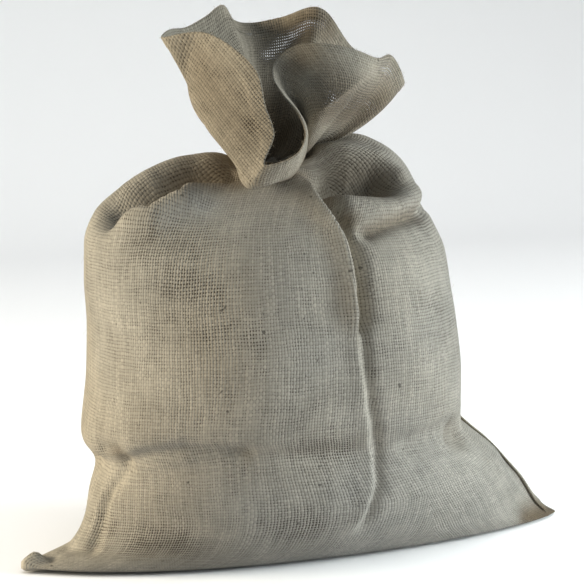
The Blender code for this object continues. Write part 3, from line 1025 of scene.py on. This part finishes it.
class OverlockStitches(NodePart):
    """Threads that cross the seam's edge one after another."""

    ARC_STEPS, SIDES = 7, 5
    ARCH = 1.3                              # the height of the arc's handles against its rise
    HANDLE = (0.6, 0.8)                     # their lean and reach against the arc's own

    def __init__(self) -> None:
        """Build the tree: a thread curved over the edge, repeated along the seam's line."""
        super().__init__("overlock stitches", dict.fromkeys(
            ("Spacing", "Reach", "Rise", "Lean", "Thread"), NUMBER))
        w, given = self.w, self.given
        line = w.add("GeometryNodeMeshToCurve", {0: given["Geometry"]})
        spaced = w.add("GeometryNodeResampleCurve",
                       {"Curve": line.outputs[0], "Length": given["Spacing"]}, mode="LENGTH")
        high = w.times(given["Rise"], self.ARCH)
        lean, reach = self.HANDLE

        corners = {label: w.vector(w.times(given["Lean"], x), w.times(given["Reach"], y), z)
                   for label, x, y, z in (("Start", -1.0, -1.0, 0.0),
                                          ("Start Handle", -lean, -reach, high),
                                          ("End Handle", lean, reach, high),
                                          ("End", 1.0, 1.0, 0.0))}
        arc = w.add("GeometryNodeCurvePrimitiveBezierSegment",
                    {"Resolution": self.ARC_STEPS, **corners})
        turn = w.add("FunctionNodeAxesToRotation", primary_axis="X", secondary_axis="Y")
        for socket, name in zip(turn.inputs, ("along", "across")):
            stored = w.add("GeometryNodeInputNamedAttribute", {"Name": name},
                           data_type="FLOAT_VECTOR")
            w.feed(socket, stored.outputs[0])
        placed = w.add("GeometryNodeInstanceOnPoints",
                       {"Points": spaced.outputs[0], "Rotation": turn.outputs[0],
                        "Instance": self.tube(arc.outputs[0], given["Thread"], self.SIDES)})
        self.close(placed.outputs[0])


@dataclass(frozen=True)
class Fuzz:
    """How loose fibres stand on a piece: their number in a square metre, and sizes in metres."""

    density: float
    length: float
    lowest: float
    seed: int
    thickness: float = 0.00005


class LooseFibres(NodePart):
    """Short hairs of jute that stand off the cloth."""

    ROOT = (0.0, 0.0, -0.0004)
    MIDDLE = (0.5, 0.0, 0.42)               # the hair's bends, as parts of its length
    TIP = (1.0, 0.25, 0.2)
    SIZES = (0.5, 1.3)
    TILT = 0.5
    BEND_STEPS, SIDES = 5, 3

    def __init__(self) -> None:
        """Build the tree: a thin bent hair, scattered over the faces and turned at random."""
        super().__init__("loose fibres", {
            **dict.fromkeys(("Density", "Length", "Thickness", "Lowest"), NUMBER),
            "Seed": "NodeSocketInt"})
        w, given = self.w, self.given
        height = w.add("ShaderNodeSeparateXYZ",
                       {0: w.add("GeometryNodeInputPosition").outputs[0]}).outputs[2]
        spread = w.add("GeometryNodeDistributePointsOnFaces", {
            "Mesh": given["Geometry"], "Density": given["Density"], "Seed": given["Seed"],
            "Selection": w.math("GREATER_THAN", height, given["Lowest"])})
        bends = {label: w.vector(*(w.times(given["Length"], part) for part in parts))
                 for label, parts in (("Middle", self.MIDDLE), ("End", self.TIP))}
        bend = w.add("GeometryNodeCurveQuadraticBezier",
                     {"Resolution": self.BEND_STEPS, "Start": self.ROOT, **bends})
        size = w.add("FunctionNodeRandomValue",
                     {2: self.SIZES[0], 3: self.SIZES[1], "Seed": given["Seed"]},
                     data_type="FLOAT")
        placed = w.add("GeometryNodeInstanceOnPoints", {
            "Points": spread.outputs["Points"], "Rotation": spread.outputs["Rotation"],
            "Instance": self.tube(bend.outputs[0], given["Thickness"], self.SIDES),
            "Scale": size.outputs[1]})
        spin = w.add("FunctionNodeRandomValue",
                     {0: (-self.TILT, -self.TILT, 0.0), 1: (self.TILT, self.TILT, FULL_TURN),
                      "Seed": given["Seed"]}, data_type="FLOAT_VECTOR")
        turned = w.add("GeometryNodeRotateInstances",
                       {"Instances": placed.outputs[0], "Rotation": spin.outputs[0]})
        self.close(turned.outputs[0])

    def stand(self, name: str, base: Piece, keep_base: bool, fuzz: Fuzz, finish: Material) -> Piece:
        """Grow the hairs on a piece.

        Args:
            name: The new piece's name.
            base: The object that the hairs stand on.
            keep_base: Whether the base object stays in the scene.
            fuzz: The hairs' number and sizes.
            finish: Their material.

        Returns:
            The new piece.
        """
        return self.grow(name, base, keep_base, {
            "Density": fuzz.density, "Length": fuzz.length, "Thickness": fuzz.thickness,
            "Lowest": fuzz.lowest, "Seed": fuzz.seed, "Finish": finish})


@dataclass
class FilledBody:
    """The cloth of the filled body, from its resting face to the neck."""

    shape: ClothShape
    around: int = 460
    rings: int = 212
    front_share: float = 0.32
    plain_height: float = 140.0
    layout: WeaveLayout = WeaveLayout(anchors=(0, 90, 180, 250, 325),
                                      meets=(45, 135, 214, 296, 345))
    fuzz: Fuzz = Fuzz(density=4200.0, length=0.0042, lowest=0.008, seed=11)
    turn: Array = field(init=False)
    place: Array = field(init=False)
    grid: Array = field(init=False)

    def __post_init__(self) -> None:
        """Work out the fine grid, with more columns towards the front."""
        even = np.linspace(0, FULL_TURN, self.around, endpoint=False)
        self.turn = even - self.front_share * np.cos(even)
        self.place = np.linspace(0, len(SECTIONS) - 1, self.rings)
        self.grid = self.shape.body(self.turn, self.place)

    def build(self, finish: Material) -> Piece:
        """Make and dress the body.

        Args:
            finish: The cloth's material.

        Returns:
            The finished piece.
        """
        smooth = self.shape.plain_body(self.turn, self.place)
        cloth = ClothMesh("sack_body", self.grid, smooth=smooth,
                          low_cap=np.array([self.shape.axis_x, 0.0, 0.0]),
                          high_cap=self.grid[-1].mean(axis=0))
        belly = int(np.argmin(np.abs(smooth[:, 0, 2] - self.plain_height)))
        return dress(cloth.build(self.layout, self.turn, belly), finish,
                     {"opened": OPEN_PATCHES, "painted_shade": PAINTED_SHADE})


@dataclass
class OpenMouth:
    """The cloth above the neck, spread open around the hem.

    The hem's sizes are millimetres: its edge's radius, how far it stands off, and how far in its
    turned edge lies at the fold and how much less at its end. Rows are counted in rings.
    """

    shape: ClothShape
    around: int = 480
    rings: int = 104
    hem_round: float = 0.7
    hem_rows: int = 10
    hem_lift: float = 0.5
    lift_rows: float = 2.0
    turned_in: tuple[float, float] = (2.2, 1.8)
    edge_steps: int = 7
    strip_rows: tuple[int, int] = (-3, 6)
    layout: WeaveLayout = WeaveLayout(anchors=(20, 110, 180, 243, 300),
                                      meets=(60, 143, 212, 268, 350))
    fuzz: Fuzz = Fuzz(density=330000.0, length=0.0023, lowest=0.0, seed=23)
    turn: Array = field(init=False)
    grid: Array = field(init=False)

    def __post_init__(self) -> None:
        """Work out the fine grid with its hem."""
        self.turn = np.linspace(0, FULL_TURN, self.around, endpoint=False)
        self.grid = self.hemmed(self.shape.mouth(self.turn, np.linspace(0, 1, self.rings)))

    def hemmed(self, grid: Array) -> Array:
        """Turn the cloth's edge in over itself as a narrow hem."""
        normal = normals(grid)
        past = np.arange(self.rings) - (self.rings - self.hem_rows)
        lift = self.hem_lift * np.clip(past / self.lift_rows, 0, 1)
        raised = grid + normal * lift[:, None, None]
        rise = unit(raised[-1] - raised[-2])
        edge = [raised[-1] + self.hem_round * (rise * math.sin(a) - normal[-1] * (1 - math.cos(a)))
                for a in np.linspace(0, math.pi, self.edge_steps)[1:]]
        deep, less = self.turned_in
        inside = [raised[-k] - normal[-k] * (deep - less * k / self.hem_rows) * self.hem_round
                  for k in range(2, self.hem_rows)]
        return np.concatenate([raised, edge, inside])

    def flap(self) -> FlatPatch:
        """The left flap, whose yarns run parallel to its outer edge."""
        corners = ("left corner low", "lip left", "flap bend")
        top, foot, bend = (np.array(HEM_BENDS[name][0], float) for name in corners)
        first, last = (int(self.shape.bend_turn(name) / (FULL_TURN / self.around))
                       for name in corners[:2])
        along = unit(foot - top)
        return FlatPatch(first, last, along, unit(bend - top - along * ((bend - top) @ along)))

    def build(self, finish: Material) -> Piece:
        """Make and dress the mouth.

        Args:
            finish: The cloth's material.

        Returns:
            The finished piece.
        """
        cloth = ClothMesh("sack_mouth", self.grid, flat_patch=self.flap())
        return dress(cloth.build(self.layout, self.turn, self.rings - 1), finish,
                     {"opened": OPEN_PATCHES, "painted_shade": PAINTED_SHADE, "sheer": SHEER_PATCHES})

    def hem_strip(self) -> Piece:
        """The hem's outermost rings alone, as a base for its fibres."""
        first, last = self.strip_rows
        strip = ClothMesh("hem_strip", self.grid[self.rings + first:self.rings + last])
        return strip.build(STRIP_WEAVE, self.turn, 0)


@dataclass
class SideSeam:
    """The two cloth edges overlocked together along the right side, lying over to the front.

    Widths are millimetres, at the foot and at the top. The seam runs between two places on the
    body, counted in rows of SECTIONS. Inward is how far from the body's side its middle lies, below
    and above the two inward rows. Drift is how far it moves round towards the back, in radians.
    """

    body: FilledBody
    stitch: Stitch = Stitch.LEANING
    half_width: tuple[float, float] = (4.2, 1.5)
    half_thick: float = 1.0
    seated: float = 0.7
    inward: tuple[float, float] = (10.5, 2.0)
    inward_rows: tuple[float, float] = (3.0, 6.0)
    first_place: float = 1.5
    last_place: float = 14.2
    drift: float = 0.327
    search: tuple[float, float] = (36.0, 0.25)
    smoothing: int = 4
    sides: int = 12
    spacing: float = 3.1
    thread: float = 0.45
    thread_rise: float = 1.2
    rows: Array = field(init=False)
    middle: Array = field(init=False)
    along: Array = field(init=False)
    across: Array = field(init=False)
    upward: Array = field(init=False)

    def __post_init__(self) -> None:
        """Follow the seam's line over the fine cloth and keep its directions."""
        body = self.body
        self.rows = np.flatnonzero((body.place >= self.first_place)
                                   & (body.place <= self.last_place))
        place = body.place[self.rows]
        normal = normals(body.grid)
        edge, middle, upward = [], [], []
        for row, angle, reach in zip(self.rows, self.drift * (place / self.last_place) ** 2,
                                     np.interp(place, self.inward_rows, self.inward)):
            start = np.interp(angle, body.turn, np.arange(body.around))
            steps = np.clip(start - np.arange(0, *self.search), 0, None)
            ring = self.read(body.grid[row], steps)
            gaps = np.linalg.norm(np.diff(ring, axis=0), axis=1)
            walked = np.concatenate([[0], np.cumsum(gaps)])
            column = steps[[min(int(np.searchsorted(walked, reach)), len(steps) - 1)]]
            edge.append(ring[0])
            middle.append(self.read(body.grid[row], column)[0])
            upward.append(self.read(normal[row], column)[0])
        edge, middle, upward = (self.smoothed(np.array(line)) for line in (edge, middle, upward))
        self.along = unit(np.gradient(middle, axis=0))
        across = edge - middle
        across -= self.along * np.sum(across * self.along, axis=1, keepdims=True)
        self.across = unit(across)
        self.upward = np.cross(self.along, self.across)
        self.upward *= np.sign(np.sum(self.upward * upward, axis=1, keepdims=True))
        self.middle = middle + self.upward * self.half_thick * self.seated

    @staticmethod
    def read(ring: Array, columns: Array) -> Array:
        """Points between a ring's columns."""
        low = columns.astype(int)
        part = (columns - low)[:, None]
        return ring[low] * (1 - part) + ring[(low + 1) % len(ring)] * part

    def smoothed(self, points: Array) -> Array:
        """A run of points with its small jumps smoothed away."""
        span = 2 * self.smoothing + 1
        wide = np.pad(points, ((self.smoothing, self.smoothing), (0, 0)), mode="edge")
        return sum(wide[k:k + len(points)] for k in range(span)) / span

    def build(self, finish: Material) -> Piece:
        """Make and dress the seam's rolled edge.

        Args:
            finish: The edge's material.

        Returns:
            The finished piece.
        """
        wide = np.linspace(*self.half_width, len(self.rows))[:, None]
        turn = np.linspace(0, FULL_TURN, self.sides, endpoint=False)
        rings = np.stack([self.middle + self.across * wide * math.cos(a)
                          + self.upward * self.half_thick * math.sin(a) for a in turn], axis=1)
        quarter, half = rings[0, self.sides // 4], rings[0, self.sides // 2]
        if np.sum(np.cross(quarter - rings[0, 0], half - quarter) * self.along[0]) < 0:
            rings = rings[:, ::-1]
        cloth = ClothMesh("side_seam_edge", rings, low_cap=rings[0].mean(axis=0),
                          high_cap=rings[-1].mean(axis=0))
        return dress(cloth.build(STRIP_WEAVE, turn, 0), finish,
                     {"opened": {}, "painted_shade": PAINTED_SHADE})

    def guide(self) -> Piece:
        """The seam's middle line as a wire, with its directions stored for the stitches."""
        mesh = bpy.data.meshes.new("seam line")
        points = ((self.middle - CENTRE) * MM).tolist()
        mesh.from_pydata(points, [(k, k + 1) for k in range(len(points) - 1)], [])
        for name, vectors in (("along", self.along), ("across", self.across)):
            layer = mesh.attributes.new(name, "FLOAT_VECTOR", "POINT")
            layer.data.foreach_set("vector", vectors.astype(np.float32).ravel())
        return linked("seam line", mesh)

    def sewn(self, stitches: OverlockStitches, finish: Material) -> Piece:
        """Sew the overlocking thread over the edge.

        Args:
            stitches: The stitches' tree.
            finish: The thread's material.

        Returns:
            The finished piece.
        """
        reach = self.half_width[0]
        return stitches.grow("seam_stitches", self.guide(), False, {
            "Spacing": self.spacing * MM, "Reach": reach * MM,
            "Rise": self.half_thick * self.thread_rise * MM,
            "Lean": reach * math.tan(math.radians(self.stitch.value)) * MM,
            "Thread": self.thread * MM, "Finish": finish})


def direction(azimuth: float, elevation: float) -> Vector:
    """The way from the middle of the sack to a place around it, given in degrees."""
    a, e = math.radians(azimuth), math.radians(elevation)
    return Vector((math.sin(a) * math.cos(e), -math.cos(a) * math.cos(e), math.sin(e)))


@dataclass(frozen=True)
class Lamp:
    """A soft square light: degrees around from the front and up, metres away and wide, watts."""

    name: str
    azimuth: float
    elevation: float
    distance: float
    size: float
    power: float
    colour: tuple[float, float, float]

    def hang(self, target: Vector) -> None:
        """Hang the light around a target and turn it to it."""
        light = bpy.data.lights.new(self.name, "AREA")
        light.energy, light.size, light.color = self.power, self.size, self.colour
        holder = linked(self.name, light)
        back = direction(self.azimuth, self.elevation)
        holder.location = target + back * self.distance
        holder.rotation_euler = back.to_track_quat("Z", "Y").to_euler()


@dataclass
class Studio:
    """The floor, the backdrop, the lights and the camera, in metres and degrees."""

    target: tuple[float, float, float] = (-0.0261, -0.0492, 0.200)
    azimuth: float = -17.0
    elevation: float = 9.0
    distance: float = 1.4
    lens: float = 121.55
    film_width: float = 36.0
    lamps: tuple[Lamp, ...] = (
        Lamp("warm light, left", -98, 10, 1.5, 0.8, 24.5, (1.0, 0.87, 0.64)),
        Lamp("cool light, right", 68, 10, 1.6, 0.8, 23.5, (0.92, 0.99, 1.0)))
    air: Colour = (0.78, 0.90, 1.0, 1.0)
    air_strength: float = 0.2
    floor_front: float = -4.0
    floor_depth: float = 1.6
    floor_bend: float = 1.2
    bend_steps: int = 24
    floor_half_width: float = 5.0
    wall_height: float = 3.0
    below: float = 0.0002
    paper: Colour = (0.86, 0.86, 0.86, 1.0)
    paper_cast: Colour = (0.3, 0.3, 0.3, 1.0)
    paper_roughness: float = 0.95
    paper_specular: float = 0.1
    floor_light: float = 2.6
    floor_light_spread: float = 120.0
    floor_light_height: float = 3.0

    def backdrop(self) -> Piece:
        """A pale floor that curves up behind the sack and throws little light back."""
        bend, wide = self.floor_bend, self.floor_half_width
        steps = [(self.floor_front, 0.0)]
        steps += [(self.floor_depth + bend * math.sin(a), bend * (1 - math.cos(a)))
                  for a in np.linspace(0, math.pi / 2, self.bend_steps)]
        steps.append((self.floor_depth + bend, self.wall_height))
        points = [(x, y, z - self.below) for y, z in steps for x in (-wide, wide)]
        faces = [(2 * i, 2 * i + 1, 2 * i + 3, 2 * i + 2) for i in range(len(steps) - 1)]
        mesh = bpy.data.meshes.new("floor")
        mesh.from_pydata(points, [], faces)
        mesh.shade_smooth()
        paper, w, shader = new_material("pale paper", {
            "Roughness": self.paper_roughness, "Specular IOR Level": self.paper_specular})
        seen = w.add("ShaderNodeLightPath").outputs["Is Camera Ray"]
        w.feed(shader.inputs["Base Color"], w.blend(seen, self.paper_cast, self.paper))
        mesh.materials.append(paper)
        return linked("floor", mesh)

    def light_floor(self, floor: Piece) -> None:
        """Light the floor alone from above."""
        only_floor = bpy.data.collections.new("floor only")
        only_floor.objects.link(floor)
        light = bpy.data.lights.new("floor light", "SUN")
        light.energy, light.angle = self.floor_light, math.radians(self.floor_light_spread)
        holder = linked("floor light", light)
        holder.location = (0, 0, self.floor_light_height)
        holder.light_linking.receiver_collection = only_floor

    def build(self) -> None:
        """Set up the whole studio."""
        scene, target = bpy.context.scene, Vector(self.target)
        floor = self.backdrop()
        self.light_floor(floor)
        scene.world = bpy.data.worlds.new("studio air")
        scene.world.use_nodes = True
        air = scene.world.node_tree.nodes["Background"].inputs
        air[0].default_value, air[1].default_value = self.air, self.air_strength
        for lamp in self.lamps:
            lamp.hang(target)
        camera = bpy.data.cameras.new("camera")
        camera.sensor_width, camera.lens = self.film_width, self.lens
        scene.camera = linked("camera", camera)
        back = direction(self.azimuth, self.elevation)
        right = Vector((0, 0, 1)).cross(back).normalized()
        turn = Matrix((right, back.cross(right), back)).transposed().to_4x4()
        scene.camera.matrix_world = Matrix.Translation(target + back * self.distance) @ turn
        scene.view_settings.view_transform = "Standard"


def main() -> None:
    """Build the sack piece by piece, dress it and set up the studio."""
    logging.basicConfig(level=logging.INFO, format="%(name)s: %(message)s")
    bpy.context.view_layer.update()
    weave, mottle = WeaveGroup(), MottleGroup()
    jute = JuteFinish("jute cloth").make(weave, mottle)
    # The mouth is the body's jute in darker, browner colours: painted shade for its folded, inward
    # cloth.
    sheer = JuteFinish("jute cloth of the mouth, painted darker", warm=(0.41, 0.355, 0.275, 1.0),
                       grey=(0.37, 0.34, 0.28, 1.0), sheer=True).make(weave, mottle)
    edge = JuteFinish("overlocked edge", warm=(0.50, 0.43, 0.33, 1.0)).make(weave, mottle)
    thread, fibre = ThreadFinish("overlocking thread").make(), ThreadFinish("jute fibre").make()
    shape = ClothShape()
    filled, opening = FilledBody(shape), OpenMouth(shape)
    side = SideSeam(filled)
    body, mouth, seam = filled.build(jute), opening.build(sheer), side.build(edge)
    stitches = side.sewn(OverlockStitches(), thread)
    fibres = LooseFibres()
    body_hairs = fibres.stand("body_fibres", body, True, filled.fuzz, fibre)
    hem_hairs = fibres.stand("hem_fibres", opening.hem_strip(), False, opening.fuzz, fibre)
    for piece, slot in ((body, "burlap"), (mouth, "burlap"), (seam, "overlocked_edge"),
                        (stitches, "overlocked_edge"), (body_hairs, "burlap"),
                        (hem_hairs, "burlap")):
        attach(piece, BODY)
        log.info("%s: %d faces", piece.name, len(piece.data.polygons))
    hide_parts("sack")
    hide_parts("side_seam")
    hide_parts("side_seam")
    Studio().build()


if __name__ == "__main__":
    main()
